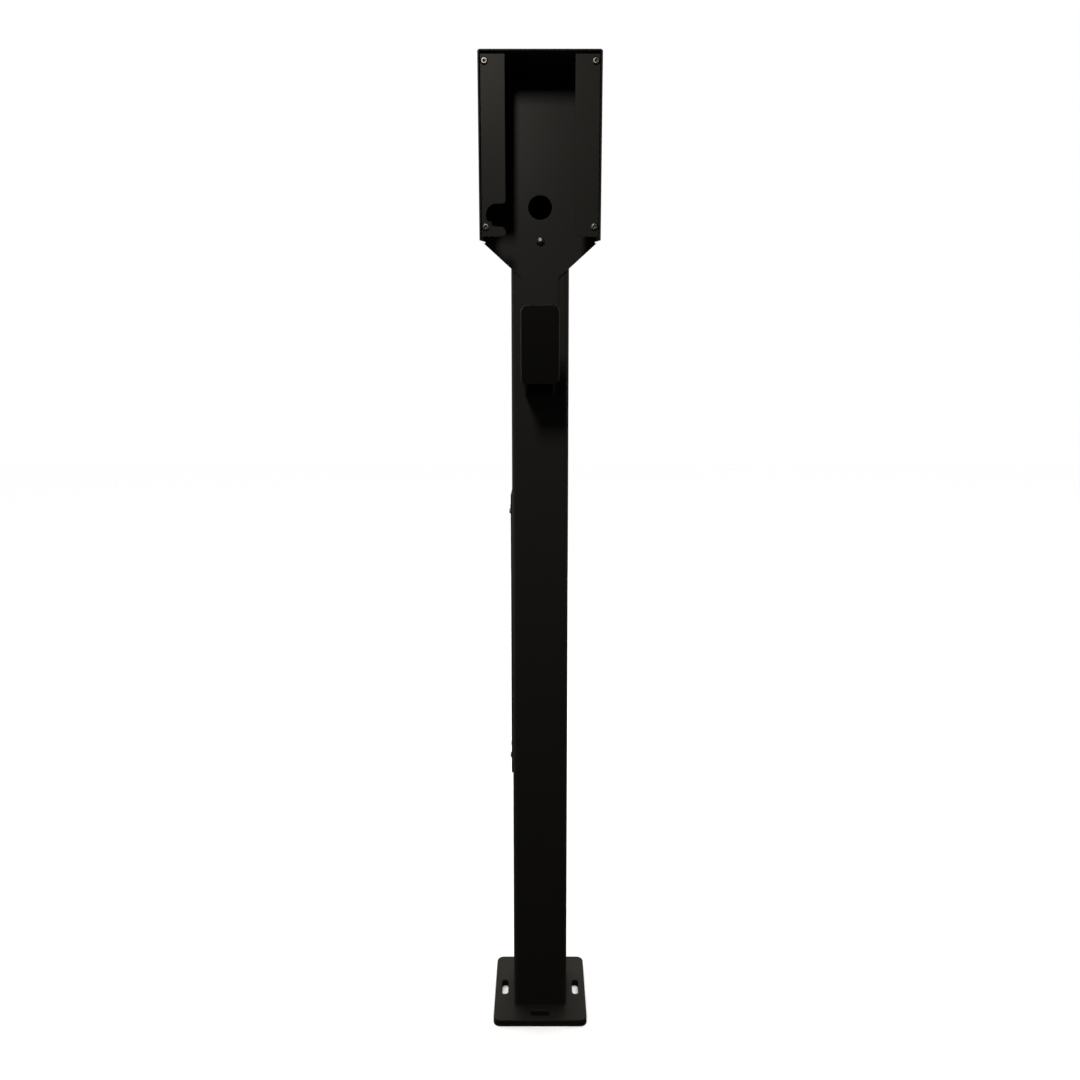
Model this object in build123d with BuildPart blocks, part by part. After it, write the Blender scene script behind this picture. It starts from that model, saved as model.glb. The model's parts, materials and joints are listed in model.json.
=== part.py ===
from build123d import *
from math import cos, radians, sin, tan
import os

# Pedestal for an electric-vehicle charging unit. Millimetres, +Z up, the front faces -Y.
# The origin is the centre of the base plate's underside, on the axis of the post.

os.makedirs("parts", exist_ok=True)

# Base plate
base_side = 140
base_thickness = 10
base_corner_radius = 10
base_edge_chamfer = 0.8
base_slot_length = 30
base_slot_width = 10
base_slot_offset = 55
cable_entry_radius = 30

# Post: square tube, the weld at its foot and the plug in its top
tube_side = 80
tube_wall = 3
tube_corner_radius = 7
tube_top = 1354
weld_leg = 2.5
weld_taper = 40
cap_thickness = 3
cap_edge = 1.2
plug_depth = 24
plug_wall = 2.5
plug_gap = 1
rib_height = 2.5
rib_count = 3

# Head: flat back plate with its tongue, and a folded surround
sheet = 2
back_plate_thickness = 3
head_width = 154
head_top = 1368
head_depth_top = 101
head_depth_bottom = 88
wall_bottom_back = 1151
wall_bottom_front = 1141
bend_radius = 3
funnel_top = 1148.5
funnel_bottom = 1102
tongue_width = 51
tongue_bottom = 1005
tongue_corner_radius = 4
cable_hole_radius = 16
tube_hole_radius = 18
cable_hole_z = 1196
earth_stud_z = 1152

# Rails that the charging unit is screwed to; they lean, with their lower ends nearer the post
rail_reach = 95
rail_lean = 3
rail_thickness = 3
rail_width = 30.5
rail_wall_gap = 0.8
rail_bottom = 1146.5
rail_top = 1364.5
rail_screw_x = 69
rail_screw_heights = (1158, 1356)
rail_hole_radius = 2.75
notch_z = 1172.5
notch_radius = 14
notch_depth = 25
notch_lip_radius = 4
finger_top_radius = 7
finger_bottom_radius = 4
lug_width = 13
lug_height = 14
lug_leg = 24

# Cable hook
hook_reach = 130
hook_lean = 10
hook_sheet = 3
hook_plate_width = 47.5
hook_plate_bottom = 960
hook_plate_top = 1057
hook_upper_radius = 10
hook_lower_radius = 6
arm_width = 41
arm_top = 1002
arm_bend_radius = 12
arm_root_bottom = 940
arm_front_bottom = 965

# Service cover on the left side of the post
cover_bottom = 379
cover_top = 799
cover_width = 62
cover_sheet = 1.2
cover_corner_radius = 4
gasket_sheet = 0.8
gasket_gap = 0.2
gasket_inset = 1
gasket_nut_radius = 5.5
window_height = 340
window_width = 44
window_corner_radius = 5
cover_screw_inset = 25
cover_screw_y = 20

# Terminal rail on two welded brackets inside the post
din_length = 280
din_width = 35
din_web = 27
din_depth = 7.5
din_sheet = 1
din_screw_spacing = 220
bracket_standoff = 10
bracket_width = 50
bracket_foot = 12
bracket_height = 24

# Fasteners: thread, head and socket of the button screws; bore, body and flange of the rivet nuts
m5_screw = {"shank": 2.45, "head": 4.75, "height": 2.75, "socket": 3, "length": 14}
m4_screw = {"shank": 1.95, "head": 3.8, "height": 2.2, "socket": 2.5, "length": 12}
m5_nut = {"bore": 2.5, "body": 3.5, "length": 12, "flange": 5, "flange_thickness": 1}
m4_nut = {"bore": 2.0, "body": 3, "length": 10, "flange": 4.6, "flange_thickness": 0.5}
m6_stud = {"thread": 3, "length": 12, "washer": 6, "washer_thickness": 1.6, "nut": 5, "nut_height": 5}
m8_stud = {"thread": 4, "length": 20, "washer": 8, "washer_thickness": 1.6, "nut": 6.5, "nut_height": 6.5}
nut_clearance = 0.05

# Soft edge that deburring and paint leave on cut sheet
soft_edge = 0.5

# Derived sizes and places
half_tube = tube_side / 2
half_bore = half_tube - tube_wall
half_head = head_width / 2
plate_front = half_tube + back_plate_thickness
rail_middle = (rail_top + rail_bottom) / 2
rail_outer = half_head - sheet - rail_wall_gap
rail_inner = rail_outer - rail_width
lug_depth = rail_thickness + m5_nut["flange_thickness"]
cover_back = half_tube + gasket_gap + gasket_sheet
cover_front = cover_back + cover_sheet
cover_height = cover_top - cover_bottom
cover_z = (cover_top + cover_bottom) / 2
din_back = half_bore - bracket_standoff
post_earth_z = cover_z - window_height / 2 + 16


def front_plane(depth):
    """Plane across the front, at this depth forward of the post's axis, with +Z up on it."""
    return Plane.XZ.offset(depth)


def left_plane(depth):
    """Plane across the left side, at this distance left of the post's axis, with +Z up on it."""
    return Plane(origin=(-depth, 0, 0), x_dir=(0, -1, 0), z_dir=(-1, 0, 0))


def on_plane(plane, points):
    """A location on the plane for each point, so that a piece's own Z leaves the plane."""
    return [plane.location * Location((across, up, 0)) for across, up in points]


def write(part, name):
    """Label a finished piece and write it to its own file."""
    part.label = name
    export_step(part, f"parts/{name}.step")


def button_screw(size):
    """Button-head screw along Z: the head stands on Z = 0 and the shank hangs below it."""
    head, height, shank, length = size["head"], size["height"], size["shank"], size["length"]
    rim = 0.25 * height
    crown = 0.5 * head
    tip = 0.6
    with BuildPart() as screw:
        with BuildSketch(Plane.XZ):
            with BuildLine():
                Polyline(
                    (0, height),
                    (0, -length),
                    (shank - tip, -length),
                    (shank, tip - length),
                    (shank, 0),
                    (head, 0),
                    (head, rim),
                )
                ThreePointArc((head, rim), (0.85 * head, 0.74 * height), (crown, height))
                Line((crown, height), (0, height))
            make_face()
        revolve(axis=Axis.Z)
        with BuildSketch(Plane.XY.offset(height)):
            RegularPolygon(size["socket"] / 2, 6, major_radius=False)
        extrude(amount=-0.6 * height, mode=Mode.SUBTRACT)
    return screw.part


def rivet_nut(size):
    """Set rivet nut along Z: its flange stands on Z = 0 and its body hangs below it."""
    with BuildPart() as nut:
        Cylinder(size["body"], size["length"], align=(Align.CENTER, Align.CENTER, Align.MAX))
        Cylinder(
            size["flange"], size["flange_thickness"], align=(Align.CENTER, Align.CENTER, Align.MIN)
        )
        with Locations((0, 0, size["flange_thickness"])):
            Hole(size["bore"])
    return nut.part


def stud(size):
    """Weld stud that stands on Z = 0, with a chamfered end."""
    with BuildPart() as pin:
        Cylinder(size["thread"], size["length"], align=(Align.CENTER, Align.CENTER, Align.MIN))
        chamfer(pin.faces().sort_by(Axis.Z)[-1].edges(), 0.7)
    return pin.part


def stud_washer(size):
    """Plain washer that lies on Z = 0 round a stud."""
    with BuildPart() as washer:
        with BuildSketch():
            Circle(size["washer"])
            Circle(size["thread"] + 0.3, mode=Mode.SUBTRACT)
        extrude(amount=size["washer_thickness"])
    return washer.part


def stud_nut(size):
    """Hexagon nut on top of the stud's washer, with its corners turned off."""
    with BuildPart() as nut:
        with BuildSketch(Plane.XY.offset(size["washer_thickness"])):
            RegularPolygon(size["nut"], 6, major_radius=False)
            Circle(size["thread"] + nut_clearance, mode=Mode.SUBTRACT)
        extrude(amount=size["nut_height"])
        with BuildSketch(Plane.XY.offset(size["washer_thickness"])):
            Circle(1.09 * size["nut"])
        extrude(amount=size["nut_height"], mode=Mode.INTERSECT)
    return nut.part


# ---- Base ----

with BuildPart() as base_plate:
    with BuildSketch():
        RectangleRounded(base_side, base_side, base_corner_radius)
        Circle(cable_entry_radius, mode=Mode.SUBTRACT)
        with Locations((-base_slot_offset, 0), (base_slot_offset, 0)):
            SlotOverall(base_slot_length, base_slot_width, rotation=90, mode=Mode.SUBTRACT)
        with Locations((0, -base_slot_offset), (0, base_slot_offset)):
            SlotOverall(base_slot_length, base_slot_width, mode=Mode.SUBTRACT)
    extrude(amount=base_thickness)
    base_upper_face = base_plate.faces().sort_by(Axis.Z)[-1]
    rim_edges = base_upper_face.edges().filter_by(lambda e: abs(e.center().X) + abs(e.center().Y) > 40)
    chamfer(rim_edges, base_edge_chamfer)
write(base_plate.part, "base_plate")

# Fillet bead: a tapered ring whose inside is the outline of the post
with BuildPart() as base_weld:
    with BuildSketch(Plane.XY.offset(base_thickness)):
        RectangleRounded(
            tube_side + 2 * weld_leg, tube_side + 2 * weld_leg, tube_corner_radius + weld_leg
        )
    extrude(amount=weld_leg, taper=weld_taper)
    with BuildSketch(Plane.XY.offset(base_thickness)):
        RectangleRounded(tube_side, tube_side, tube_corner_radius)
    extrude(amount=weld_leg, mode=Mode.SUBTRACT)
write(base_weld.part, "base_weld")

# ---- Post ----

with BuildPart() as post_tube:
    with BuildSketch(Plane.XY.offset(base_thickness)):
        RectangleRounded(tube_side, tube_side, tube_corner_radius)
        RectangleRounded(
            2 * half_bore, 2 * half_bore, tube_corner_radius - tube_wall, mode=Mode.SUBTRACT
        )
    extrude(amount=tube_top - base_thickness)
    # Cable hole in the front wall, behind the hole in the head's back plate
    with BuildSketch(front_plane(half_tube)):
        with Locations((0, cable_hole_z)):
            Circle(tube_hole_radius)
    extrude(amount=-tube_wall, mode=Mode.SUBTRACT)
    # Service window and the holes for its rivet nuts in the left wall
    with BuildSketch(left_plane(half_tube)):
        with Locations((0, cover_z)):
            RectangleRounded(window_width, window_height, window_corner_radius)
            with GridLocations(2 * cover_screw_y, cover_height - 2 * cover_screw_inset, 2, 2):
                Circle(m4_nut["body"] + nut_clearance)
    extrude(amount=-tube_wall, mode=Mode.SUBTRACT)
write(post_tube.part, "post_tube")

# Moulded plug: a lid on the tube's end, a hollow plug inside it and gripping ribs round the plug
with BuildPart() as post_cap:
    with BuildSketch(Plane.XY.offset(tube_top)):
        RectangleRounded(tube_side, tube_side, tube_corner_radius)
    extrude(amount=cap_thickness)
    fillet(post_cap.faces().sort_by(Axis.Z)[-1].edges(), cap_edge)
    plug_side = 2 * (half_bore - plug_gap)
    with BuildSketch(Plane.XY.offset(tube_top)):
        RectangleRounded(plug_side, plug_side, tube_corner_radius - tube_wall)
        RectangleRounded(
            plug_side - 2 * plug_wall, plug_side - 2 * plug_wall, 1, mode=Mode.SUBTRACT
        )
    extrude(amount=-plug_depth)
    for rib in range(rib_count):
        rib_z = tube_top - plug_depth + rib_height + rib * 2.5 * rib_height
        with BuildSketch(Plane.XY.offset(rib_z)):
            RectangleRounded(2 * half_bore, 2 * half_bore, tube_corner_radius - tube_wall)
            RectangleRounded(
                plug_side - 1, plug_side - 1, tube_corner_radius - tube_wall, mode=Mode.SUBTRACT
            )
        extrude(amount=-rib_height / 2, taper=20)
write(post_cap.part, "post_cap")

# ---- Head ----

# The plate fills the surround, widens to its outside at the funnel and narrows to the tongue
with BuildPart() as head_back_plate:
    with BuildSketch(front_plane(half_tube)) as plate_outline:
        with BuildLine():
            right_side = Polyline(
                (0, head_top - sheet),
                (half_head - sheet, head_top - sheet),
                (half_head - sheet, funnel_top),
                (half_head, funnel_top),
                (tongue_width / 2, funnel_bottom),
                (tongue_width / 2, tongue_bottom),
                (0, tongue_bottom),
            )
            mirror(right_side, about=Plane.YZ)
        make_face()
        tongue_corners = plate_outline.vertices().group_by(Axis.Y)[0]
        fillet(tongue_corners.filter_by(lambda v: abs(v.X) > 1), tongue_corner_radius)
        upper_corners = plate_outline.vertices().group_by(Axis.Y)[-1]
        fillet(upper_corners.filter_by(lambda v: abs(v.X) > 1), bend_radius - sheet)
        with Locations((0, cable_hole_z)):
            Circle(cable_hole_radius, mode=Mode.SUBTRACT)
    extrude(amount=back_plate_thickness)
    plate_face = head_back_plate.faces().sort_by(Axis.Y)[0]
    open_edges = plate_face.outer_wire().edges().filter_by(lambda e: e.center().Z < funnel_top - 1)
    fillet(open_edges + plate_face.inner_wires().edges(), soft_edge)
write(head_back_plate.part, "head_back_plate")

# One sheet folded over the top; its front edges lean forward and its lower edges fall forward
with BuildPart() as head_surround:
    wall_blank_bottom = wall_bottom_front - 5
    wall_blank_height = head_top - wall_blank_bottom
    with BuildSketch(front_plane(half_tube)):
        with Locations((0, head_top)):
            Rectangle(head_width, wall_blank_height, align=(Align.CENTER, Align.MAX))
    extrude(amount=head_depth_top)
    upper_corners = head_surround.edges().filter_by(Axis.Y).group_by(Axis.Z)[-1]
    fillet(upper_corners, bend_radius)
    with BuildSketch(front_plane(half_tube)) as inside_outline:
        with Locations((0, head_top - sheet)):
            Rectangle(head_width - 2 * sheet, wall_blank_height, align=(Align.CENTER, Align.MAX))
        fillet(inside_outline.vertices().group_by(Axis.Y)[-1], bend_radius - sheet)
    extrude(amount=head_depth_top, mode=Mode.SUBTRACT)
    with BuildSketch(Plane.YZ):
        with BuildLine():
            Polyline(
                (-half_tube, wall_bottom_back),
                (-half_tube, head_top),
                (-half_tube - head_depth_top, head_top),
                (-half_tube - head_depth_bottom, wall_bottom_front),
                close=True,
            )
        make_face()
    extrude(amount=head_width, both=True, mode=Mode.INTERSECT)
    front_edge_face = head_surround.faces().sort_by(Axis.Y)[0]
    fillet(front_edge_face.edges().filter_by(lambda e: e.length > 2 * sheet), soft_edge)
write(head_surround.part, "head_surround")


def rail_plane(depth):
    """Leaning plane this far behind the rails' front, with its origin at the rails' mid-height."""
    lean = radians(rail_lean)
    middle_front = half_tube + rail_reach - (rail_top - rail_middle) * tan(lean)
    return Plane(
        origin=(0, depth * cos(lean) - middle_front, rail_middle + depth * sin(lean)),
        x_dir=(1, 0, 0),
        z_dir=(0, -cos(lean), -sin(lean)),
    )


def rail_blank(side):
    """Plain strip on one side of the bay, side -1 left and +1 right, with its two screw holes."""
    centre_x = side * (rail_inner + rail_width / 2)
    with Locations((centre_x, 0)):
        Rectangle(rail_width, rail_top - rail_bottom)
    with Locations(*[(side * rail_screw_x, height - rail_middle) for height in rail_screw_heights]):
        Circle(rail_hole_radius, mode=Mode.SUBTRACT)


with BuildPart() as right_rail:
    with BuildSketch(rail_plane(rail_thickness)):
        rail_blank(1)
    extrude(amount=rail_thickness)
    front_face = right_rail.faces().sort_by(lambda face: face.area)[-2:].sort_by(Axis.Y)[0]
    fillet(front_face.outer_wire().edges(), soft_edge)
write(right_rail.part, "right_rail")

# The left strip has a round-ended notch open to the bay, which leaves a finger below it
with BuildPart() as left_rail:
    with BuildSketch(rail_plane(rail_thickness)) as left_outline:
        rail_blank(-1)
        notch_x = -rail_inner - notch_depth + notch_radius
        notch_y = notch_z - rail_middle
        with Locations((notch_x, notch_y)):
            Circle(notch_radius, mode=Mode.SUBTRACT)
            Rectangle(
                2 * notch_radius,
                2 * notch_radius,
                align=(Align.MIN, Align.CENTER),
                mode=Mode.SUBTRACT,
            )
        for corner_y, radius in (
            (notch_y + notch_radius, notch_lip_radius),
            (notch_y - notch_radius, finger_top_radius),
            (rail_bottom - rail_middle, finger_bottom_radius),
        ):
            inner_corners = left_outline.vertices().filter_by(lambda v: v.X > -rail_inner - 0.01)
            fillet(inner_corners.sort_by(lambda v: abs(v.Y - corner_y))[0], radius)
    extrude(amount=rail_thickness)
    front_face = left_rail.faces().sort_by(lambda face: face.area)[-2:].sort_by(Axis.Y)[0]
    fillet(front_face.outer_wire().edges(), soft_edge)
write(left_rail.part, "left_rail")

rail_screw_points = [
    (x, height - rail_middle) for x in (-rail_screw_x, rail_screw_x) for height in rail_screw_heights
]

# Folded lugs on the side walls: a face behind the rail for the rivet nut and a leg on the wall
with BuildPart() as rail_lugs:
    for side in (-1, 1):
        for height in rail_screw_heights:
            lug_y = height - rail_middle
            with BuildSketch(rail_plane(lug_depth)):
                with Locations((side * (half_head - sheet - lug_width / 2), lug_y)):
                    Rectangle(lug_width, lug_height)
                with Locations((side * rail_screw_x, lug_y)):
                    Circle(m5_nut["body"] + nut_clearance, mode=Mode.SUBTRACT)
            extrude(amount=-sheet)
            with BuildSketch(rail_plane(lug_depth)):
                with Locations((side * (half_head - 1.5 * sheet), lug_y)):
                    Rectangle(sheet, lug_height)
            extrude(amount=-lug_leg)
write(rail_lugs.part, "rail_lugs")

with BuildPart() as rail_nuts:
    with Locations(*on_plane(rail_plane(lug_depth), rail_screw_points)):
        add(rivet_nut(m5_nut))
write(rail_nuts.part, "rail_nuts")

with BuildPart() as rail_screws:
    with Locations(*on_plane(rail_plane(0), rail_screw_points)):
        add(button_screw(m5_screw))
write(rail_screws.part, "rail_screws")

# Bonding stud under the cable hole
head_stud_place = on_plane(front_plane(plate_front), [(0, earth_stud_z)])

with BuildPart() as earth_stud:
    with Locations(*head_stud_place):
        add(stud(m6_stud))
write(earth_stud.part, "earth_stud")

with BuildPart() as earth_washer:
    with Locations(*head_stud_place):
        add(stud_washer(m6_stud))
write(earth_washer.part, "earth_washer")

with BuildPart() as earth_nut:
    with Locations(*head_stud_place):
        add(stud_nut(m6_stud))
write(earth_nut.part, "earth_nut")

# ---- Cable hook ----


def end_plate_front(height):
    """How far forward of the post's axis the leaning end plate's front face is at this height."""
    return half_tube + hook_reach + (height - hook_plate_bottom) * tan(radians(hook_lean))


def end_plate_back(height):
    """How far forward of the post's axis the leaning end plate's back face is at this height."""
    return end_plate_front(height) - hook_sheet / cos(radians(hook_lean))


# Folded saddle with a round-shouldered top and two sides that get shallower to the front
with BuildPart() as hook_arm:
    arm_blank_length = end_plate_back(arm_top) - half_tube
    arm_height = arm_top - arm_root_bottom
    with BuildSketch(front_plane(half_tube)) as saddle:
        with Locations((0, arm_top)):
            Rectangle(arm_width, arm_height, align=(Align.CENTER, Align.MAX))
        fillet(saddle.vertices().group_by(Axis.Y)[-1], arm_bend_radius)
    extrude(amount=arm_blank_length)
    with BuildSketch(front_plane(half_tube)) as saddle_inside:
        with Locations((0, arm_top - hook_sheet)):
            Rectangle(arm_width - 2 * hook_sheet, arm_height, align=(Align.CENTER, Align.MAX))
        fillet(saddle_inside.vertices().group_by(Axis.Y)[-1], arm_bend_radius - hook_sheet)
    extrude(amount=arm_blank_length, mode=Mode.SUBTRACT)
    with BuildSketch(Plane.YZ):
        with BuildLine():
            Polyline(
                (-half_tube, arm_root_bottom),
                (-half_tube, arm_top),
                (-end_plate_back(arm_top), arm_top),
                (-end_plate_back(arm_front_bottom), arm_front_bottom),
                close=True,
            )
        make_face()
    extrude(amount=arm_width, both=True, mode=Mode.INTERSECT)
write(hook_arm.part, "hook_arm")

# End plate: its lower edge is nearer to the post than its upper edge
with BuildPart() as hook_end_plate:
    lean = radians(hook_lean)
    plate_length = (hook_plate_top - hook_plate_bottom) / cos(lean)
    leaning_plane = Plane(
        origin=(0, -end_plate_front(hook_plate_bottom), hook_plate_bottom),
        x_dir=(1, 0, 0),
        z_dir=(0, -1, -tan(lean)),
    )
    with BuildSketch(leaning_plane) as end_outline:
        Rectangle(hook_plate_width, plate_length, align=(Align.CENTER, Align.MIN))
        fillet(end_outline.vertices().group_by(Axis.Y)[-1], hook_upper_radius)
        fillet(end_outline.vertices().group_by(Axis.Y)[0], hook_lower_radius)
    extrude(amount=-hook_sheet)
    broad_faces = hook_end_plate.faces().sort_by(lambda face: face.area)[-2:]
    fillet(broad_faces.edges(), 2 * soft_edge)
write(hook_end_plate.part, "hook_end_plate")

# ---- Service cover ----

cover_screw_points = [
    (y, z)
    for y in (-cover_screw_y, cover_screw_y)
    for z in (cover_bottom + cover_screw_inset, cover_top - cover_screw_inset)
]

with BuildPart() as service_cover:
    with BuildSketch(left_plane(cover_back)):
        with Locations((0, cover_z)):
            RectangleRounded(cover_width, cover_height, cover_corner_radius)
        with Locations(*cover_screw_points):
            Circle(m4_screw["shank"] + 0.3, mode=Mode.SUBTRACT)
    extrude(amount=cover_sheet)
    fillet(service_cover.faces().sort_by(Axis.X)[0].outer_wire().edges(), soft_edge)
write(service_cover.part, "service_cover")

with BuildPart() as cover_gasket:
    with BuildSketch(left_plane(half_tube + gasket_gap)):
        with Locations((0, cover_z)):
            RectangleRounded(
                cover_width - 2 * gasket_inset,
                cover_height - 2 * gasket_inset,
                cover_corner_radius - gasket_inset,
            )
            RectangleRounded(
                window_width, window_height, window_corner_radius, mode=Mode.SUBTRACT
            )
        with Locations(*cover_screw_points):
            Circle(gasket_nut_radius, mode=Mode.SUBTRACT)
    extrude(amount=gasket_sheet)
write(cover_gasket.part, "cover_gasket")

with BuildPart() as cover_screws:
    with Locations(*on_plane(left_plane(cover_front), cover_screw_points)):
        add(button_screw(m4_screw))
write(cover_screws.part, "cover_screws")

with BuildPart() as cover_nuts:
    with Locations(*on_plane(left_plane(half_tube), cover_screw_points)):
        add(rivet_nut(m4_nut))
write(cover_nuts.part, "cover_nuts")

# ---- Inside the post ----


def right_wall_plane(depth):
    """Plane parallel to the right wall, at this X, facing the service window."""
    return left_plane(-depth)


din_screw_points = [(0, cover_z - din_screw_spacing / 2), (0, cover_z + din_screw_spacing / 2)]

# Top-hat rail, drawn as its section and pulled up
with BuildPart() as din_rail:
    with BuildSketch(Plane.XY.offset(cover_z - din_length / 2)):
        with Locations((din_back - din_sheet / 2, 0)):
            Rectangle(din_sheet, din_web)
        for side in (-1, 1):
            with Locations((din_back - din_depth / 2, side * (din_web - din_sheet) / 2)):
                Rectangle(din_depth, din_sheet)
            with Locations((din_back - din_depth + din_sheet / 2, side * (din_width + din_web) / 4)):
                Rectangle(din_sheet, (din_width - din_web) / 2)
    extrude(amount=din_length)
    with BuildSketch(right_wall_plane(din_back)):
        with Locations(*din_screw_points):
            SlotOverall(12, 6, rotation=90)
    extrude(amount=din_sheet, mode=Mode.SUBTRACT)
write(din_rail.part, "din_rail")

# Hat-shaped brackets: a seat for the rail, two legs and two feet on the right wall
with BuildPart() as din_brackets:
    for _, height in din_screw_points:
        with BuildSketch(Plane.XY.offset(height - bracket_height / 2)):
            with Locations((din_back + sheet / 2, 0)):
                Rectangle(sheet, bracket_width - 2 * bracket_foot + 2 * sheet)
            for side in (-1, 1):
                leg_y = side * (bracket_width / 2 - bracket_foot + sheet / 2)
                with Locations((din_back + bracket_standoff / 2, leg_y)):
                    Rectangle(bracket_standoff, sheet)
                with Locations((half_bore - sheet / 2, side * (bracket_width - bracket_foot) / 2)):
                    Rectangle(sheet, bracket_foot)
        extrude(amount=bracket_height)
    with BuildSketch(right_wall_plane(din_back)):
        with Locations(*din_screw_points):
            Circle(m5_screw["shank"] + nut_clearance)
    extrude(amount=-sheet, mode=Mode.SUBTRACT)
write(din_brackets.part, "din_brackets")

din_screw = dict(m5_screw, length=bracket_standoff - 1)

with BuildPart() as din_screws:
    with Locations(*on_plane(right_wall_plane(din_back - din_sheet), din_screw_points)):
        add(button_screw(din_screw))
write(din_screws.part, "din_screws")

post_stud_place = on_plane(right_wall_plane(half_bore), [(0, post_earth_z)])

with BuildPart() as post_earth_stud:
    with Locations(*post_stud_place):
        add(stud(m8_stud))
write(post_earth_stud.part, "post_earth_stud")

with BuildPart() as post_earth_washer:
    with Locations(*post_stud_place):
        add(stud_washer(m8_stud))
write(post_earth_washer.part, "post_earth_washer")

with BuildPart() as post_earth_nut:
    with Locations(*post_stud_place):
        add(stud_nut(m8_stud))
write(post_earth_nut.part, "post_earth_nut")
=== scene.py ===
import json
import math
import bpy
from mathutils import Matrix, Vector


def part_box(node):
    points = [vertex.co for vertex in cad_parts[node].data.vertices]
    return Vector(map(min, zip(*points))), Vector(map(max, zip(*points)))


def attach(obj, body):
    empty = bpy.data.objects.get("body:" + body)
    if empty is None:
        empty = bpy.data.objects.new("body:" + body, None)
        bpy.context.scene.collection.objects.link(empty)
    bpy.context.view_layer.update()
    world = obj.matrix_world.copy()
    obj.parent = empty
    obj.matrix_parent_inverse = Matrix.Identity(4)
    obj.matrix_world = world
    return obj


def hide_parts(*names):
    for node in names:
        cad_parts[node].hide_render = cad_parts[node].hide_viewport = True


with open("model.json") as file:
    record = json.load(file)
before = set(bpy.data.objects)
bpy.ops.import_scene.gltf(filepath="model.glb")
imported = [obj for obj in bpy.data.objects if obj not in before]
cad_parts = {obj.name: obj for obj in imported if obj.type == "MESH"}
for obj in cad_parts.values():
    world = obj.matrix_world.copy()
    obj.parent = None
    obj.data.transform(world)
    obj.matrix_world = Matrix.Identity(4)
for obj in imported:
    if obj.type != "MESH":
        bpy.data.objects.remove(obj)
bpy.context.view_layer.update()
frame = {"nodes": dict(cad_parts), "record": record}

# Looks for a charging post: powder coat, plated fasteners, weld bead and a plain studio.
# Metres, +Z up, the front faces -Y.

print("frame loaded:", len(frame["nodes"]), "nodes")

floatSocket = "NodeSocketFloat"
vectorSocket = "NodeSocketVector"


def addNode(tree, kind, **settings):
    node = tree.nodes.new(kind)
    for name, value in settings.items():
        setattr(node, name, value)
    return node


def setInputs(node, **values):
    # an underscore in a name stands for a space in the socket's name
    for name, value in values.items():
        node.inputs[name.replace("_", " ")].default_value = value
    return node


def newGroup(name, takes, gives):
    # takes lists (socket name, socket type, start value), gives lists (socket name, socket type)
    group = bpy.data.node_groups.new(name, "ShaderNodeTree")
    for label, kind, start in takes:
        socket = group.interface.new_socket(label, in_out="INPUT", socket_type=kind)
        if start is not None:
            socket.default_value = start
    for label, kind in gives:
        group.interface.new_socket(label, in_out="OUTPUT", socket_type=kind)
    return group, group.nodes.new("NodeGroupInput"), group.nodes.new("NodeGroupOutput")


def makeCoatGrain():
    # orange peel of a sprayed coat, its specks, and the slow unevenness of its gloss
    speckShare = 0.35  # scale of the specks over scale of the peel
    group, given, out = newGroup(
        "coatGrain",
        [
            ("Place", vectorSocket, None),
            ("Peel Size", floatSocket, 900.0),
            ("Patch Size", floatSocket, 7.0),
        ],
        [("Height", floatSocket), ("Patch", floatSocket), ("Speck", floatSocket)],
    )
    links = group.links
    peel = addNode(group, "ShaderNodeTexNoise")
    setInputs(peel, Detail=2.5, Roughness=0.55)
    patch = addNode(group, "ShaderNodeTexNoise")
    setInputs(patch, Detail=3.0, Roughness=0.5, Distortion=0.3)
    speck = addNode(group, "ShaderNodeTexVoronoi", feature="F1")
    speckSize = addNode(group, "ShaderNodeMath", operation="MULTIPLY")
    speckSize.inputs[1].default_value = speckShare
    speckMask = addNode(group, "ShaderNodeMapRange", interpolation_type="SMOOTHSTEP")
    setInputs(speckMask, From_Min=0.05, From_Max=0.22, To_Min=1.0, To_Max=0.0)
    for texture, size in ((peel, "Peel Size"), (patch, "Patch Size")):
        links.new(given.outputs["Place"], texture.inputs["Vector"])
        links.new(given.outputs[size], texture.inputs["Scale"])
    links.new(given.outputs["Place"], speck.inputs["Vector"])
    links.new(given.outputs["Peel Size"], speckSize.inputs[0])
    links.new(speckSize.outputs[0], speck.inputs["Scale"])
    links.new(speck.outputs["Distance"], speckMask.inputs["Value"])
    links.new(peel.outputs["Fac"], out.inputs["Height"])
    links.new(patch.outputs["Fac"], out.inputs["Patch"])
    links.new(speckMask.outputs["Result"], out.inputs["Speck"])
    return group


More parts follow.
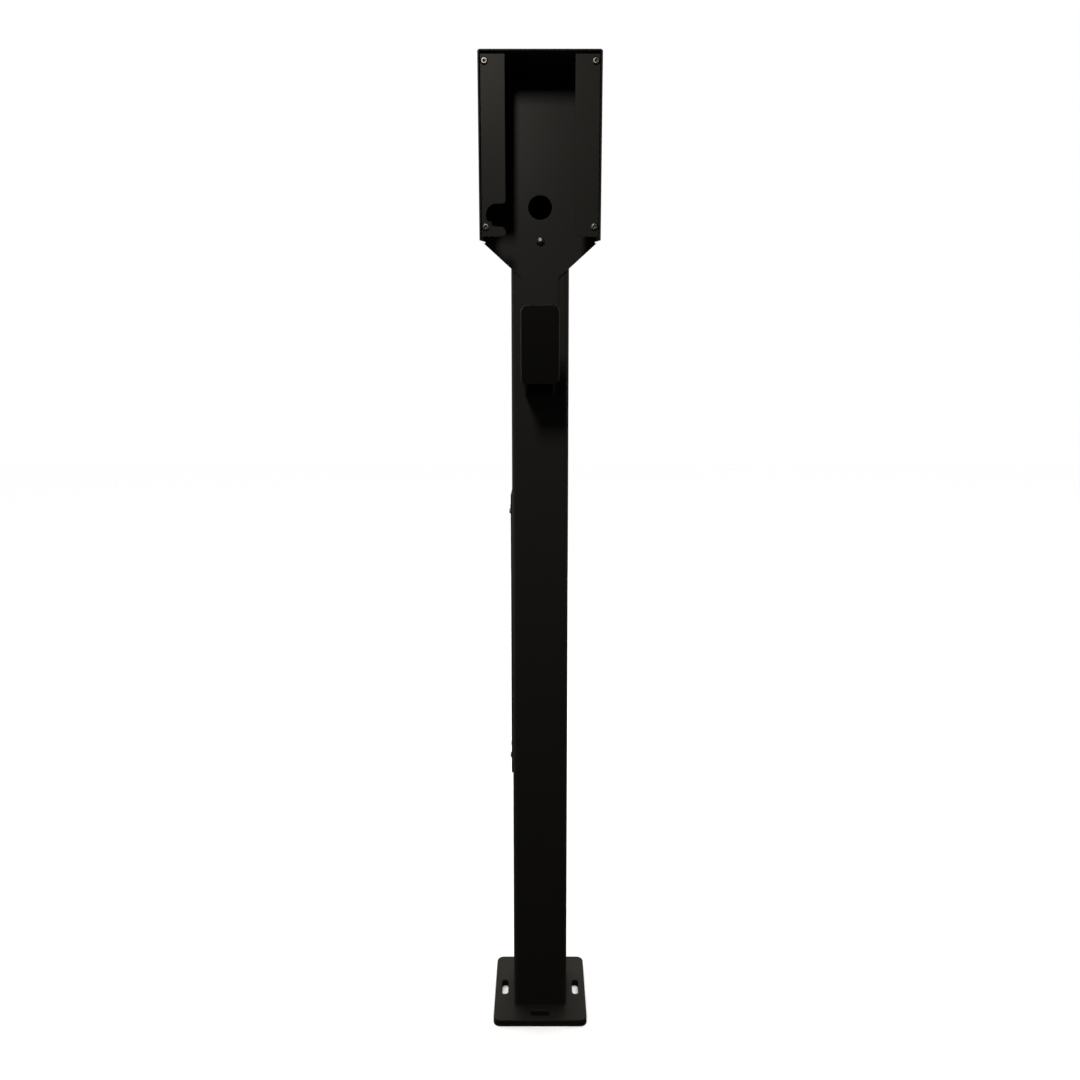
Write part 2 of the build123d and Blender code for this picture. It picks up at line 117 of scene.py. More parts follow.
def makeRestingDust():
    # dust that settles on faces that look up
    group, given, out = newGroup(
        "restingDust",
        [("Place", vectorSocket, None), ("Amount", floatSocket, 0.3)],
        [("Mask", floatSocket)],
    )
    links = group.links
    surface = addNode(group, "ShaderNodeNewGeometry")
    split = addNode(group, "ShaderNodeSeparateXYZ")
    facing = addNode(group, "ShaderNodeMapRange", interpolation_type="SMOOTHSTEP")
    setInputs(facing, From_Min=0.55, From_Max=1.0)
    cloud = addNode(group, "ShaderNodeTexNoise")
    setInputs(cloud, Scale=34.0, Detail=6.0, Roughness=0.62)
    cloudRange = addNode(group, "ShaderNodeMapRange")
    setInputs(cloudRange, From_Min=0.3, From_Max=0.75, To_Min=0.25, To_Max=1.0)
    both = addNode(group, "ShaderNodeMath", operation="MULTIPLY")
    scaled = addNode(group, "ShaderNodeMath", operation="MULTIPLY", use_clamp=True)
    links.new(surface.outputs["Normal"], split.inputs[0])
    links.new(split.outputs["Z"], facing.inputs["Value"])
    links.new(given.outputs["Place"], cloud.inputs["Vector"])
    links.new(cloud.outputs["Fac"], cloudRange.inputs["Value"])
    links.new(facing.outputs["Result"], both.inputs[0])
    links.new(cloudRange.outputs["Result"], both.inputs[1])
    links.new(both.outputs[0], scaled.inputs[0])
    links.new(given.outputs["Amount"], scaled.inputs[1])
    links.new(scaled.outputs[0], out.inputs["Mask"])
    return group


def makeRubMarks():
    # short faint rubs, drawn out along the axis where Stretch is smallest
    rubContrast = 6.0
    group, given, out = newGroup(
        "rubMarks",
        [
            ("Place", vectorSocket, None),
            ("Stretch", vectorSocket, (1.0, 1.0, 1.0)),
            ("Size", floatSocket, 60.0),
            ("Threshold", floatSocket, 0.62),
        ],
        [("Mask", floatSocket)],
    )
    links = group.links
    stretch = addNode(group, "ShaderNodeVectorMath", operation="MULTIPLY")
    scuff = addNode(group, "ShaderNodeTexNoise")
    setInputs(scuff, Detail=7.0, Roughness=0.7, Distortion=0.6)
    above = addNode(group, "ShaderNodeMath", operation="SUBTRACT")
    gain = addNode(group, "ShaderNodeMath", operation="MULTIPLY", use_clamp=True)
    gain.inputs[1].default_value = rubContrast
    links.new(given.outputs["Place"], stretch.inputs[0])
    links.new(given.outputs["Stretch"], stretch.inputs[1])
    links.new(stretch.outputs["Vector"], scuff.inputs["Vector"])
    links.new(given.outputs["Size"], scuff.inputs["Scale"])
    links.new(scuff.outputs["Fac"], above.inputs[0])
    links.new(given.outputs["Threshold"], above.inputs[1])
    links.new(above.outputs[0], gain.inputs[0])
    links.new(gain.outputs[0], out.inputs["Mask"])
    return group


def makeEdgeWearAndHighlight():
    # mask along sharp edges, from the turn of the surface within a small radius; the coat is
    # lightened there, partly as coat worn thin and partly as a painted highlight along the edges
    edgeRadius = 0.0009
    group, given, out = newGroup(
        "edgeWearAndHighlight",
        [
            ("Place", vectorSocket, None),
            ("Breakup Size", floatSocket, 120.0),
            ("Amount", floatSocket, 1.0),
        ],
        [("Mask", floatSocket)],
    )
    links = group.links
    rounded = addNode(group, "ShaderNodeBevel", samples=8)
    setInputs(rounded, Radius=edgeRadius)
    surface = addNode(group, "ShaderNodeNewGeometry")
    turn = addNode(group, "ShaderNodeVectorMath", operation="DOT_PRODUCT")
    edge = addNode(group, "ShaderNodeMapRange", interpolation_type="SMOOTHSTEP")
    setInputs(edge, From_Min=0.72, From_Max=0.97, To_Min=1.0, To_Max=0.0)
    breakup = addNode(group, "ShaderNodeTexNoise")
    setInputs(breakup, Detail=4.0, Roughness=0.6)
    breakupRange = addNode(group, "ShaderNodeMapRange")
    setInputs(breakupRange, From_Min=0.35, From_Max=0.65, To_Min=0.2, To_Max=1.0)
    both = addNode(group, "ShaderNodeMath", operation="MULTIPLY")
    scaled = addNode(group, "ShaderNodeMath", operation="MULTIPLY", use_clamp=True)
    links.new(rounded.outputs["Normal"], turn.inputs[0])
    links.new(surface.outputs["Normal"], turn.inputs[1])
    links.new(turn.outputs["Value"], edge.inputs["Value"])
    links.new(given.outputs["Place"], breakup.inputs["Vector"])
    links.new(given.outputs["Breakup Size"], breakup.inputs["Scale"])
    links.new(breakup.outputs["Fac"], breakupRange.inputs["Value"])
    links.new(edge.outputs["Result"], both.inputs[0])
    links.new(breakupRange.outputs["Result"], both.inputs[1])
    links.new(both.outputs[0], scaled.inputs[0])
    links.new(given.outputs["Amount"], scaled.inputs[1])
    links.new(scaled.outputs[0], out.inputs["Mask"])
    return group


coatGrain = makeCoatGrain()
restingDust = makeRestingDust()
rubMarks = makeRubMarks()
edgeWearAndHighlight = makeEdgeWearAndHighlight()


def startMaterial(name):
    material = bpy.data.materials.new(name)
    material.use_nodes = True
    tree = material.node_tree
    place = addNode(tree, "ShaderNodeTexCoord")
    return material, tree, tree.nodes["Principled BSDF"], place.outputs["Object"]


def placeGroup(tree, group, place, **values):
    node = addNode(tree, "ShaderNodeGroup", node_tree=group)
    tree.links.new(place, node.inputs["Place"])
    return setInputs(node, **values)


def blendColour(tree, factor, first, second):
    # first and second are colours or sockets
    mix = addNode(tree, "ShaderNodeMix", data_type="RGBA")
    tree.links.new(factor, mix.inputs["Factor"])
    for socket, value in ((mix.inputs[6], first), (mix.inputs[7], second)):
        if isinstance(value, tuple):
            socket.default_value = (*value, 1.0)
        else:
            tree.links.new(value, socket)
    return mix.outputs[2]


def blendValue(tree, factor, first, second):
    # first and second are numbers or sockets
    mix = addNode(tree, "ShaderNodeMix", data_type="FLOAT")
    tree.links.new(factor, mix.inputs["Factor"])
    for socket, value in ((mix.inputs[2], first), (mix.inputs[3], second)):
        if isinstance(value, float):
            socket.default_value = value
        else:
            tree.links.new(value, socket)
    return mix.outputs[0]


def addBump(tree, shader, height, finish):
    bump = addNode(tree, "ShaderNodeBump")
    setInputs(bump, Strength=finish["bump"], Distance=finish["bumpDepth"])
    tree.links.new(height, bump.inputs["Height"])
    tree.links.new(bump.outputs["Normal"], shader.inputs["Normal"])


blackCoat = {
    "colour": (0.0300, 0.0283, 0.0250),
    "patchColour": (0.0262, 0.0247, 0.0220),
    "speckColour": (0.0370, 0.0350, 0.0310),
    "dustColour": (0.0950, 0.0900, 0.0800),
    # lighter colour along edges: partly worn coat, partly a painted highlight
    "edgeWearAndHighlightColour": (0.0560, 0.0530, 0.0480),
    "roughLow": 0.75,
    "roughHigh": 0.83,
    "rubbedRough": 0.64,
    "dustRough": 0.92,
    "clearWeight": 0.143,
    "clearRough": 0.323,
    "peelSize": 850.0,
    "patchSize": 7.0,
    "rubSize": 55.0,
    "rubThreshold": 0.63,
    "edgeSize": 140.0,
    "bump": 0.35,
    "bumpDepth": 0.00012,
}

# a glossier copy of the black coat for the hook's end plate; its darker colour is painted shade
# for the plate's dark face
hookShadedCoat = dict(
    blackCoat,
    colour=(0.0095, 0.0088, 0.0080),
    patchColour=(0.0075, 0.0070, 0.0064),
    speckColour=(0.0125, 0.0118, 0.0108),
    roughLow=0.36,
    roughHigh=0.44,
    rubbedRough=0.32,
    clearWeight=0.0,
    clearRough=0.3,
)


def makeBlackCoat(name, coat, dust, rubStretch, edgeWearAndHighlightAmount=0.5):
    material, tree, shader, place = startMaterial(name)
    grain = placeGroup(
        tree, coatGrain, place, Peel_Size=coat["peelSize"], Patch_Size=coat["patchSize"]
    )
    settled = placeGroup(tree, restingDust, place, Amount=dust)
    rubs = placeGroup(
        tree, rubMarks, place,
        Stretch=rubStretch, Size=coat["rubSize"], Threshold=coat["rubThreshold"],
    )
    edges = placeGroup(
        tree, edgeWearAndHighlight, place, Breakup_Size=coat["edgeSize"], Amount=edgeWearAndHighlightAmount
    )
    tone = blendColour(tree, grain.outputs["Patch"], coat["colour"], coat["patchColour"])
    tone = blendColour(tree, grain.outputs["Speck"], tone, coat["speckColour"])
    # lighter edges: partly worn coat, partly a painted highlight along the edges
    tone = blendColour(tree, edges.outputs["Mask"], tone, coat["edgeWearAndHighlightColour"])
    tone = blendColour(tree, settled.outputs["Mask"], tone, coat["dustColour"])
    tree.links.new(tone, shader.inputs["Base Color"])
    gloss = blendValue(tree, grain.outputs["Patch"], coat["roughLow"], coat["roughHigh"])
    gloss = blendValue(tree, rubs.outputs["Mask"], gloss, coat["rubbedRough"])
    gloss = blendValue(tree, settled.outputs["Mask"], gloss, coat["dustRough"])
    tree.links.new(gloss, shader.inputs["Roughness"])
    setInputs(shader, Coat_Weight=coat["clearWeight"], Coat_Roughness=coat["clearRough"])
    addBump(tree, shader, grain.outputs["Height"], coat)
    return material


stainless = {
    "colour": (0.34, 0.33, 0.31),
    "stainColour": (0.22, 0.21, 0.19),
    "dustColour": (0.22, 0.20, 0.18),
    "dust": 0.15,
    "roughLow": 0.26,
    "roughHigh": 0.42,
    "markRough": 0.6,
    "markThreshold": 0.56,
    "grainSize": 2200.0,
    "stainSize": 160.0,
    "bump": 0.25,
    "bumpDepth": 0.00003,
}

zincPlate = dict(
    stainless,
    colour=(0.44, 0.45, 0.46),
    stainColour=(0.30, 0.30, 0.29),
    roughLow=0.34,
    roughHigh=0.55,
)


def makeBareMetal(name, metal, markStretch, markSize):
    material, tree, shader, place = startMaterial(name)
    grain = placeGroup(
        tree, coatGrain, place, Peel_Size=metal["grainSize"], Patch_Size=metal["stainSize"]
    )
    marks = placeGroup(
        tree, rubMarks, place,
        Stretch=markStretch, Size=markSize, Threshold=metal["markThreshold"],
    )
    settled = placeGroup(tree, restingDust, place, Amount=metal["dust"])
    tone = blendColour(tree, grain.outputs["Patch"], metal["colour"], metal["stainColour"])
    tone = blendColour(tree, settled.outputs["Mask"], tone, metal["dustColour"])
    tree.links.new(tone, shader.inputs["Base Color"])
    gloss = blendValue(tree, grain.outputs["Patch"], metal["roughLow"], metal["roughHigh"])
    gloss = blendValue(tree, marks.outputs["Mask"], gloss, metal["markRough"])
    tree.links.new(gloss, shader.inputs["Roughness"])
    setInputs(shader, Metallic=1.0)
    addBump(tree, shader, marks.outputs["Mask"], metal)
    return material


mouldedPlastic = {
    "colour": (0.0200, 0.0200, 0.0210),
    "patchColour": (0.0165, 0.0165, 0.0170),
    "dustColour": (0.10, 0.095, 0.085),
    "dust": 0.45,
    "roughLow": 0.42,
    "roughHigh": 0.52,
    "dustRough": 0.9,
    "grainSize": 3400.0,
    "patchSize": 22.0,
    "bump": 0.5,
    "bumpDepth": 0.00008,
}


def makeMouldedPlastic(name, plastic):
    # fine spark texture of a moulding tool, with dust on top
    material, tree, shader, place = startMaterial(name)
    grain = placeGroup(
        tree, coatGrain, place, Peel_Size=plastic["grainSize"], Patch_Size=plastic["patchSize"]
    )
    settled = placeGroup(tree, restingDust, place, Amount=plastic["dust"])
    tone = blendColour(tree, grain.outputs["Patch"], plastic["colour"], plastic["patchColour"])
    tone = blendColour(tree, settled.outputs["Mask"], tone, plastic["dustColour"])
    tree.links.new(tone, shader.inputs["Base Color"])
    gloss = blendValue(tree, grain.outputs["Patch"], plastic["roughLow"], plastic["roughHigh"])
    gloss = blendValue(tree, settled.outputs["Mask"], gloss, plastic["dustRough"])
    tree.links.new(gloss, shader.inputs["Roughness"])
    addBump(tree, shader, grain.outputs["Height"], plastic)
    return material


spongeRubber = {
    "colour": (0.026, 0.026, 0.027),
    "patchColour": (0.018, 0.018, 0.019),
    # darker colour of the pores: painted shade inside them
    "poreShadeColour": (0.008, 0.008, 0.008),
    "roughLow": 0.82,
    "roughHigh": 0.94,
    "poreSize": 1500.0,
    "patchSize": 40.0,
    "bump": -0.6,
    "bumpDepth": 0.0002,
}


def makeSpongeRubber(name, rubber):
    # closed-cell foam: small pores in a matt skin, the pores darkened as painted shade inside them
    material, tree, shader, place = startMaterial(name)
    grain = placeGroup(
        tree, coatGrain, place, Peel_Size=rubber["poreSize"], Patch_Size=rubber["patchSize"]
    )
    tone = blendColour(tree, grain.outputs["Patch"], rubber["colour"], rubber["patchColour"])
    # pore specks darkened: painted shade inside the pores
    tone = blendColour(tree, grain.outputs["Speck"], tone, rubber["poreShadeColour"])
    tree.links.new(tone, shader.inputs["Base Color"])
    gloss = blendValue(tree, grain.outputs["Patch"], rubber["roughLow"], rubber["roughHigh"])
    tree.links.new(gloss, shader.inputs["Roughness"])
    addBump(tree, shader, grain.outputs["Speck"], rubber)
    return material


evenMarks = (1.0, 1.0, 1.0)
postCoat = makeBlackCoat("postCoat", blackCoat, dust=0.25, rubStretch=(3.0, 3.0, 0.5))
sheetCoat = makeBlackCoat("sheetCoat", blackCoat, dust=0.25, rubStretch=(1.0, 1.0, 2.5))
# a higher edge amount on the hook plate gives a stronger painted highlight along its edges, partly
# worn coat
# hook end plate: glossier coat whose darker colour is painted shade on the plate's face
hookPlateShadedCoat = makeBlackCoat(
    "hookPlateShadedCoat", hookShadedCoat, dust=0.2, rubStretch=evenMarks, edgeWearAndHighlightAmount=0.8
)
stainlessFinish = makeBareMetal(
    "stainlessScrew", stainless, markStretch=evenMarks, markSize=420.0
)
zincFinish = makeBareMetal("zincPlated", zincPlate, markStretch=evenMarks, markSize=300.0)
zincRailFinish = makeBareMetal(
    "zincPlatedRail", zincPlate, markStretch=(1.0, 1.0, 0.08), markSize=260.0
)
capPlastic = makeMouldedPlastic("capPlastic", mouldedPlastic)
gasketRubber = makeSpongeRubber("gasketRubber", spongeRubber)

finishOf = {
    "post_tube": postCoat,
    "hook_end_plate": hookPlateShadedCoat,
    "post_cap": capPlastic,
    "cover_gasket": gasketRubber,
    "din_rail": zincRailFinish,
}
coatedNodes = (
    "base_plate", "base_weld", "head_back_plate", "head_surround", "right_rail", "left_rail",
    "rail_lugs", "hook_arm", "service_cover", "din_brackets", "earth_washer", "earth_nut",
)
stainlessNodes = ("rail_screws", "cover_screws", "din_screws")
zincNodes = (
    "rail_nuts", "cover_nuts", "earth_stud",
    "post_earth_stud", "post_earth_washer", "post_earth_nut",
)
finishOf.update(dict.fromkeys(coatedNodes, sheetCoat))
finishOf.update(dict.fromkeys(stainlessNodes, stainlessFinish))
finishOf.update(dict.fromkeys(zincNodes, zincFinish))
for name, node in frame["nodes"].items():
    for slot in node.material_slots:
        slot.material = finishOf[name]
print("finishes made")


def clearSelection():
    if bpy.context.object and bpy.context.object.mode != "OBJECT":
        bpy.ops.object.mode_set(mode="OBJECT")
    bpy.ops.object.select_all(action="DESELECT")


def selectOnly(piece):
    clearSelection()
    bpy.context.view_layer.objects.active = piece
    piece.select_set(True)


def applyPlace():
    bpy.ops.object.transform_apply(location=True, rotation=True, scale=True)


def inEditMode(selectMode):
    bpy.ops.object.mode_set(mode="EDIT")
    bpy.ops.mesh.select_mode(type=selectMode)


def pickFaces(piece, test):
    # leaves selected the faces whose normal passes the test
    bpy.ops.object.mode_set(mode="OBJECT")
    for face in piece.data.polygons:
        face.select = test(face.normal)
    for edge in piece.data.edges:
        edge.select = False
    for vertex in piece.data.vertices:
        vertex.select = False
    inEditMode("FACE")


def pickEdges(piece, test):
    # leaves selected the edges whose two ends pass the test
    bpy.ops.object.mode_set(mode="OBJECT")
    places = piece.data.vertices
    for face in piece.data.polygons:
        face.select = False
    for vertex in places:
        vertex.select = False
    for edge in piece.data.edges:
        edge.select = test(*(places[end].co for end in edge.vertices))
    inEditMode("EDGE")


nearlyUpright = 0.9  # Z of a normal that counts as straight up


def looksUp(normal):
    return normal.z > nearlyUpright


def looksDown(normal):
    return normal.z < -nearlyUpright


def applyModifier(piece, kind, **settings):
    modifier = piece.modifiers.new(kind.title(), kind)
    for name, value in settings.items():
        setattr(modifier, name, value)
    bpy.ops.object.modifier_apply(modifier=modifier.name)


def cutWith(piece, tool, operation="DIFFERENCE"):
    selectOnly(piece)
    applyModifier(piece, "BOOLEAN", object=tool, operation=operation, solver="EXACT")
    bpy.data.objects.remove(tool, do_unlink=True)


def addCylinder(sides, radius, height, middle):
    # upright on the Z axis, middle is the height of its centre
    clearSelection()
    bpy.ops.mesh.primitive_cylinder_add(
        vertices=sides, radius=radius, depth=height, location=(0.0, 0.0, middle)
    )
    applyPlace()
    return bpy.context.object


def drawOut(rise, scale):
    # pulls the picked end face along Z and scales its outline
    bpy.ops.mesh.extrude_region_move(TRANSFORM_OT_translate={"value": (0.0, 0.0, rise)})
    bpy.ops.transform.resize(value=(scale, scale, 1.0))


def drawThread(size, length, away):
    # the picked end face goes in and out once for each pitch; away is +1 or -1 along Z
    pointScale = 0.78
    turns = int(length / size["pitch"]) - 1
    root = (size["thread"] - size["threadDepth"]) / size["thread"]
    for turn in range(turns):
        drawOut(away * 0.5 * size["pitch"], root)
        drawOut(away * 0.5 * size["pitch"], 1.0 / root)
    drawOut(away * (length - turns * size["pitch"]), pointScale)


def hexagonCorner(flats):
    # radius to a corner of a hexagon, from the width across its flats
    return 0.5 * flats / math.cos(math.radians(30))


def finishPiece(piece, name, material, body, replaced, smoothAngle):
    selectOnly(piece)
    applyPlace()
    bpy.ops.object.shade_smooth_by_angle(angle=math.radians(smoothAngle))
    piece.name = name
    piece.data.name = name
    piece.data.materials.clear()
    piece.data.materials.append(material)
    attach(piece, body)
    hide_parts(replaced)


# "head" and "thread" are radii, "flats" is the width across the socket
railScrew = {
    "head": 0.00475, "height": 0.00275, "shoulder": 0.0019,
    "flats": 0.0030, "socketDepth": 0.0016,
    "thread": 0.00245, "threadDepth": 0.00035, "pitch": 0.0008, "length": 0.0139,
}
coverScrew = {
    "head": 0.0038, "height": 0.0022, "shoulder": 0.0015,
    "flats": 0.0025, "socketDepth": 0.0013,
    "thread": 0.00195, "threadDepth": 0.00030, "pitch": 0.0007, "length": 0.0119,
}
buttonShape = {
    "sides": 40, "domeFrom": 0.9, "domeSteps": 7, "domeRound": 0.52,
    "socketFlare": 1.9, "drillDepth": 0.25, "drillTip": 0.08,
    "smoothAngle": 32,
}


def modelButtonScrew(size):
    # domed head that stands on Z = 0, a hexagon socket in it and a thread below
    screw = addCylinder(buttonShape["sides"], size["head"], size["height"], 0.5 * size["height"])
    pickEdges(screw, lambda a, b: min(a.z, b.z) > buttonShape["domeFrom"] * size["height"])
    bpy.ops.mesh.bevel(
        offset=size["shoulder"], segments=buttonShape["domeSteps"],
        profile=buttonShape["domeRound"], affect="EDGES", clamp_overlap=True,
    )
    pickFaces(screw, looksDown)
    bpy.ops.mesh.inset(thickness=size["head"] - size["thread"])
    drawThread(size, size["length"], -1)
    bpy.ops.object.mode_set(mode="OBJECT")
    key = addCylinder(6, hexagonCorner(size["flats"]), 2.0 * size["socketDepth"], size["height"])
    pickFaces(key, looksDown)
    drawOut(-buttonShape["drillDepth"] * size["flats"], buttonShape["drillTip"])
    pickFaces(key, looksUp)
    bpy.ops.transform.resize(value=(buttonShape["socketFlare"], buttonShape["socketFlare"], 1.0))
    bpy.ops.object.mode_set(mode="OBJECT")
    cutWith(screw, key)
    return screw


def placeScrews(master, spots, turn, names, body, replaced):
    # one copy, with its own mesh, for each spot; the master is the first
    screws = [master]
    for spot in spots[1:]:
        selectOnly(master)
        bpy.ops.object.duplicate(linked=False)
        screws.append(bpy.context.object)
    for number, (screw, spot) in enumerate(zip(screws, spots), 1):
        screw.rotation_euler = turn
        screw.location = spot
        finishPiece(
            screw, names + str(number), stainlessFinish, body, replaced,
            buttonShape["smoothAngle"],
        )


# the rails lean, so their screws stand on the plane of the record's fixing pattern
millimetre = 0.001
fixings = next(m for m in frame["record"]["mounts"] if m["name"] == "charger_fixings")
outward = Vector(fixings["axis"])
upward = outward.cross(Vector((1.0, 0.0, 0.0)))
halfAcross = 0.5 * millimetre * fixings["dims"]["spacing_x_mm"]
halfUp = 0.5 * millimetre * fixings["dims"]["spacing_y_mm"]
railSpots = [
    Vector(fixings["pos_m"]) + Vector((across, 0.0, 0.0)) + up * upward
    for across in (-halfAcross, halfAcross)
    for up in (-halfUp, halfUp)
]
placeScrews(
    modelButtonScrew(railScrew), railSpots, outward.to_track_quat("Z", "Y").to_euler(),
    "railScrew", "pedestal", "rail_screws",
)

coverLow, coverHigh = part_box("cover_screws")
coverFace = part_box("service_cover")[0][0]
coverSpots = [
    (coverFace, y, z)
    for y in (coverLow[1] + coverScrew["head"], coverHigh[1] - coverScrew["head"])
    for z in (coverLow[2] + coverScrew["head"], coverHigh[2] - coverScrew["head"])
]
placeScrews(
    modelButtonScrew(coverScrew), coverSpots, (0.0, math.radians(-90), 0.0),
    "coverScrew", "cover", "cover_screws",
)
print("screws made")

# "thread" is the stud's radius, "flats" the width across the nut
headStud = {
    "thread": 0.0030, "threadDepth": 0.0004, "pitch": 0.0010, "length": 0.012,
    "washer": 0.0016, "flats": 0.010, "nutHeight": 0.005,
}
wallStud = {
    "thread": 0.0040, "threadDepth": 0.0005, "pitch": 0.00125, "length": 0.020,
    "washer": 0.0016, "flats": 0.013, "nutHeight": 0.0065,
}
studShape = {"sides": 32, "smoothAngle": 25}
nutShape = {
    "blankSides": 48, "blank": 1.10, "chamfer": 0.20, "boreGap": 0.00005, "boreLength": 1.5,
}


def modelStud(size):
    stud = addCylinder(studShape["sides"], size["thread"], size["washer"], 0.5 * size["washer"])
    pickFaces(stud, looksUp)
    drawThread(size, size["length"] - size["washer"], 1)
    bpy.ops.object.mode_set(mode="OBJECT")
    return stud


def modelNut(size):
    # hexagon with its outer corners turned down on a cone, and a plain bore
    height = size["nutHeight"]
    middle = size["washer"] + 0.5 * height
    corner = hexagonCorner(size["flats"])
    nut = addCylinder(6, corner, height, middle)
    turned = addCylinder(nutShape["blankSides"], nutShape["blank"] * corner, height, middle)
    pickEdges(turned, lambda a, b: min(a.z, b.z) > middle)
    bpy.ops.mesh.bevel(offset=nutShape["chamfer"] * corner, segments=1, affect="EDGES")
    bpy.ops.object.mode_set(mode="OBJECT")
    cutWith(nut, turned, "INTERSECT")
    boreRadius = size["thread"] + nutShape["boreGap"]
    bore = addCylinder(studShape["sides"], boreRadius, nutShape["boreLength"] * height, middle)
    cutWith(nut, bore)
    return nut


def placeStudAndNut(size, turn, spot, names, studNode, nutNode, nutFinish, nutSlot):
    pieces = (
        (modelStud(size), "Stud", studNode, zincFinish, "zinc_plate"),
        (modelNut(size), "Nut", nutNode, nutFinish, nutSlot),
    )
    for piece, kind, node, finish, slot in pieces:
        piece.rotation_euler = turn
        piece.location = spot
        finishPiece(
            piece, names + kind, finish, "pedestal", node, studShape["smoothAngle"]
        )


studLow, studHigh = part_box("earth_stud")
placeStudAndNut(
    headStud, (math.radians(90), 0.0, 0.0),
    (0.0, studHigh[1], 0.5 * (studLow[2] + studHigh[2])),
    "headEarth", "earth_stud", "earth_nut", sheetCoat, "black_coat",
)
wallLow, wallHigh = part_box("post_earth_stud")
placeStudAndNut(
    wallStud, (0.0, math.radians(-90), 0.0),
    (wallHigh[0], 0.0, 0.5 * (wallLow[2] + wallHigh[2])),
    "postEarth", "post_earth_stud", "post_earth_nut", zincFinish, "zinc_plate",
)
print("studs made")

footBead = {
    "radius": 0.0011, "standOff": 0.0003, "lift": 0.0002, "cornerRadius": 0.007,
    "cornerSteps": 8, "sideCuts": 90, "roundness": 2,
    "ripplePeriod": 0.0026, "rippleDepth": 0.00035, "smoothAngle": 60,
}


def modelFootBead():
    # the post's outline, drawn out to a round bead and rippled along its way
    tubeLow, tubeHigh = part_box("post_tube")
    clearSelection()
    bpy.ops.mesh.primitive_plane_add(
        size=tubeHigh[0] - tubeLow[0] + 2.0 * footBead["standOff"],
        location=(0.0, 0.0, tubeLow[2] + footBead["lift"]),
    )
    bead = bpy.context.object
    applyPlace()
    inEditMode("VERT")
    bpy.ops.mesh.select_all(action="SELECT")
    bpy.ops.mesh.bevel(
        offset=footBead["cornerRadius"], segments=footBead["cornerSteps"],
        profile=0.5, affect="VERTICES",
    )
    bpy.ops.mesh.select_all(action="SELECT")
    bpy.ops.mesh.delete(type="ONLY_FACE")
    pickEdges(bead, lambda a, b: (a - b).length > 2.0 * footBead["cornerRadius"])
    bpy.ops.mesh.subdivide(number_cuts=footBead["sideCuts"])
    bpy.ops.object.mode_set(mode="OBJECT")
    bpy.ops.object.convert(target="CURVE")
    bead = bpy.context.object
    bead.data.bevel_depth = footBead["radius"]
    bead.data.bevel_resolution = footBead["roundness"]
    bpy.ops.object.convert(target="MESH")
    bead = bpy.context.object
    # a band of the wood texture repeats every 2 pi / 10 of its own units
    rippleScale = bpy.data.objects.new("rippleScale", None)
    bpy.context.scene.collection.objects.link(rippleScale)
    rippleScale.scale = [footBead["ripplePeriod"] * 10.0 / (2.0 * math.pi)] * 3
    bpy.context.view_layer.update()
    ripples = bpy.data.textures.new("ripples", "WOOD")
    ripples.wood_type = "BANDS"
    selectOnly(bead)
    applyModifier(
        bead, "DISPLACE", texture=ripples, texture_coords="OBJECT",
        texture_coords_object=rippleScale, strength=footBead["rippleDepth"], mid_level=0.5,
    )
    bpy.data.objects.remove(rippleScale, do_unlink=True)
    return bead


finishPiece(
    modelFootBead(), "footBead", sheetCoat, "pedestal", "base_weld",
    footBead["smoothAngle"],
)
print("weld bead made")

# "glow" is power for each square metre over pi, so that boxes of one glow look equally bright
keyLight = {
    "place": (-0.2296, -1.4976, 1.740), "aim": (0.0, -0.05, 1.15), "size": (0.147, 0.30),
    "power": 2.15, "spread": 120, "tint": (1.0, 0.96, 0.88),
}
fillTint = (1.0, 0.95, 0.86)
fillLights = {
    "leftStrip": {"place": (-1.9, -0.38, 1.0), "aimHeight": 0.8, "size": (0.8, 2.4), "glow": 0.5},
    "rightStrip": {"place": (1.9, -0.38, 1.0), "aimHeight": 0.8, "size": (0.8, 2.4), "glow": 0.28},
    "leftBox": {"place": (-2.3, 1.25, 1.15), "aimHeight": 0.8, "size": (2.2, 2.4), "glow": 0.9},
    "rightBox": {"place": (2.3, 1.25, 1.15), "aimHeight": 0.8, "size": (2.2, 2.4), "glow": 0.5},
    "backBox": {"place": (0.0, 2.6, 1.3), "aimHeight": 0.9, "size": (3.0, 2.4), "glow": 0.9},
    "topBox": {"place": (0.0, 0.75, 2.75), "aimHeight": 0.9, "size": (1.8, 1.0), "glow": 1.4},
}


def addSoftbox(name, place, aim, size, power, tint):
    data = bpy.data.lights.new(name, "AREA")
    data.shape = "RECTANGLE"
    data.size, data.size_y = size
    data.energy = power
    data.color = tint
    lamp = bpy.data.objects.new(name, data)
    bpy.context.scene.collection.objects.link(lamp)
    lamp.location = place
    lamp.rotation_euler = (Vector(aim) - lamp.location).to_track_quat("-Z", "Y").to_euler()
    lamp.visible_camera = False
    return lamp


key = addSoftbox(
    "keyLight", keyLight["place"], keyLight["aim"], keyLight["size"],
    keyLight["power"], keyLight["tint"],
)
key.data.spread = math.radians(keyLight["spread"])
for name, box in fillLights.items():
    width, height = box["size"]
    power = box["glow"] * math.pi * width * height
    addSoftbox(name, box["place"], (0.0, 0.0, box["aimHeight"]), box["size"], power, fillTint)

studioFloor = {"size": 14.0, "colour": (0.88, 0.88, 0.88), "rough": 0.9}
floorLight = {"power": 3.5, "softness": 70}

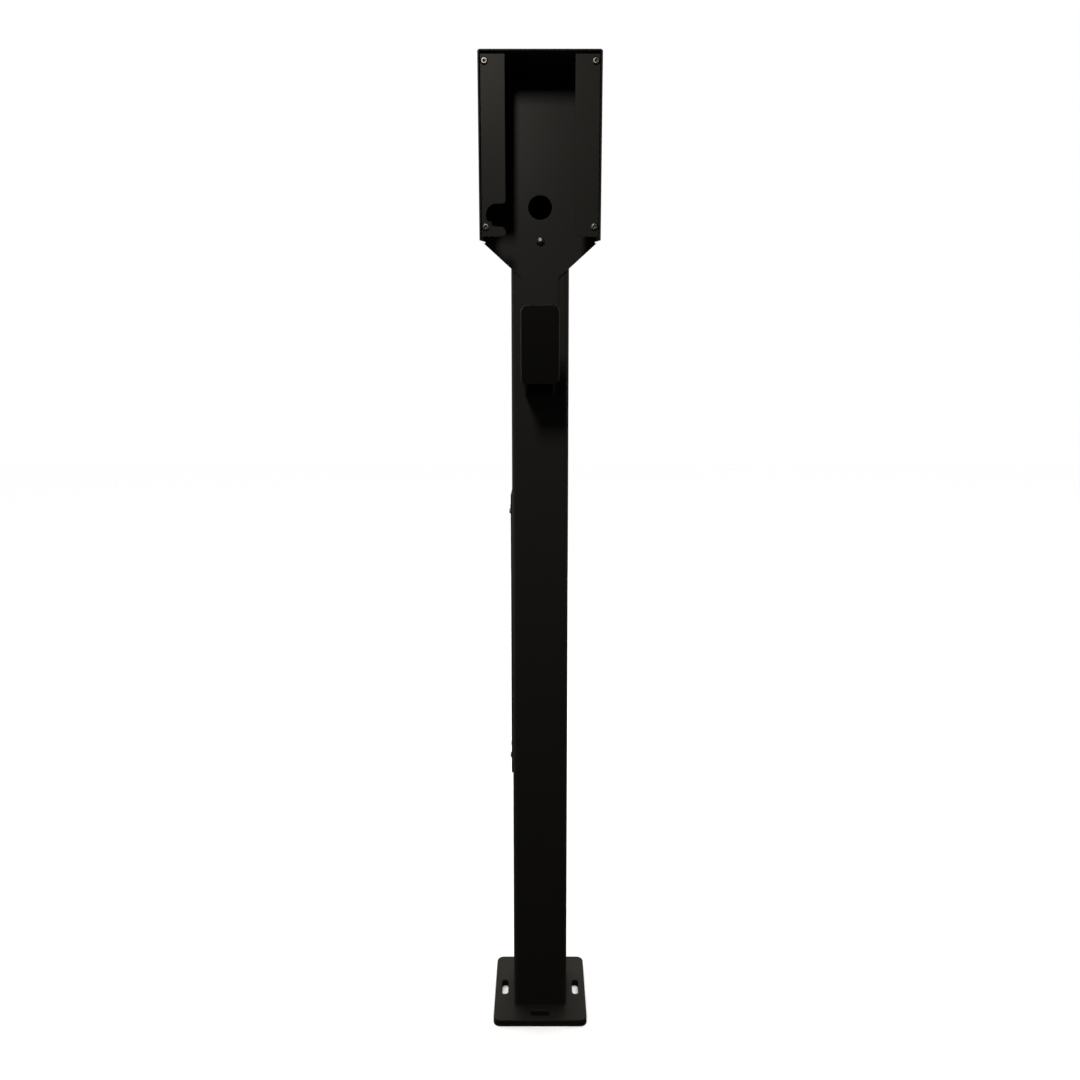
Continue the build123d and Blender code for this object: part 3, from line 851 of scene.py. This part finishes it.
clearSelection()
bpy.ops.mesh.primitive_plane_add(size=studioFloor["size"], location=(0.0, 0.0, 0.0))
floor = bpy.context.object
floor.name = "studioFloor"
floor.visible_diffuse = False
floor.visible_glossy = False
floorMaterial, _, floorShader, _ = startMaterial("paleFloor")
setInputs(
    floorShader, Base_Color=(*studioFloor["colour"], 1.0),
    Roughness=studioFloor["rough"], Specular_IOR_Level=0.0,
)
floor.data.materials.append(floorMaterial)

# this lamp lights the floor only
floorSun = bpy.data.objects.new("floorSun", bpy.data.lights.new("floorSun", "SUN"))
bpy.context.scene.collection.objects.link(floorSun)
floorSun.data.energy = floorLight["power"]
floorSun.data.angle = math.radians(floorLight["softness"])
onlyFloor = bpy.data.collections.new("litByFloorSun")
onlyFloor.objects.link(floor)
floorSun.light_linking.receiver_collection = onlyFloor

# the camera sees white, the object is lit by next to nothing from around
backdrop = {"seen": (1.0, 1.0, 1.0), "around": (1.0, 0.98, 0.95), "aroundStrength": 0.012}

world = bpy.data.worlds.new("studio")
bpy.context.scene.world = world
world.use_nodes = True
worldTree = world.node_tree
around = worldTree.nodes["Background"]
setInputs(around, Color=(*backdrop["around"], 1.0), Strength=backdrop["aroundStrength"])
seen = addNode(worldTree, "ShaderNodeBackground")
setInputs(seen, Color=(*backdrop["seen"], 1.0), Strength=1.0)
path = addNode(worldTree, "ShaderNodeLightPath")
choose = addNode(worldTree, "ShaderNodeMixShader")
worldTree.links.new(path.outputs["Is Camera Ray"], choose.inputs[0])
worldTree.links.new(around.outputs[0], choose.inputs[1])
worldTree.links.new(seen.outputs[0], choose.inputs[2])
worldTree.links.new(choose.outputs[0], worldTree.nodes["World Output"].inputs["Surface"])

cameraView = {
    "place": (0.0, -1.2486, 0.9887), "lookDown": 7, "lens": 28.72,
    "shiftAcross": -0.0001, "shiftUp": -0.0676, "nearest": 0.05,
}

camera = bpy.data.objects.new("camera", bpy.data.cameras.new("camera"))
bpy.context.scene.collection.objects.link(camera)
camera.location = cameraView["place"]
camera.rotation_euler = (math.radians(90 - cameraView["lookDown"]), 0.0, 0.0)
camera.data.lens = cameraView["lens"]
camera.data.shift_x = cameraView["shiftAcross"]
camera.data.shift_y = cameraView["shiftUp"]
camera.data.clip_start = cameraView["nearest"]
bpy.context.scene.camera = camera
bpy.context.scene.view_settings.view_transform = "Standard"
print("studio set")
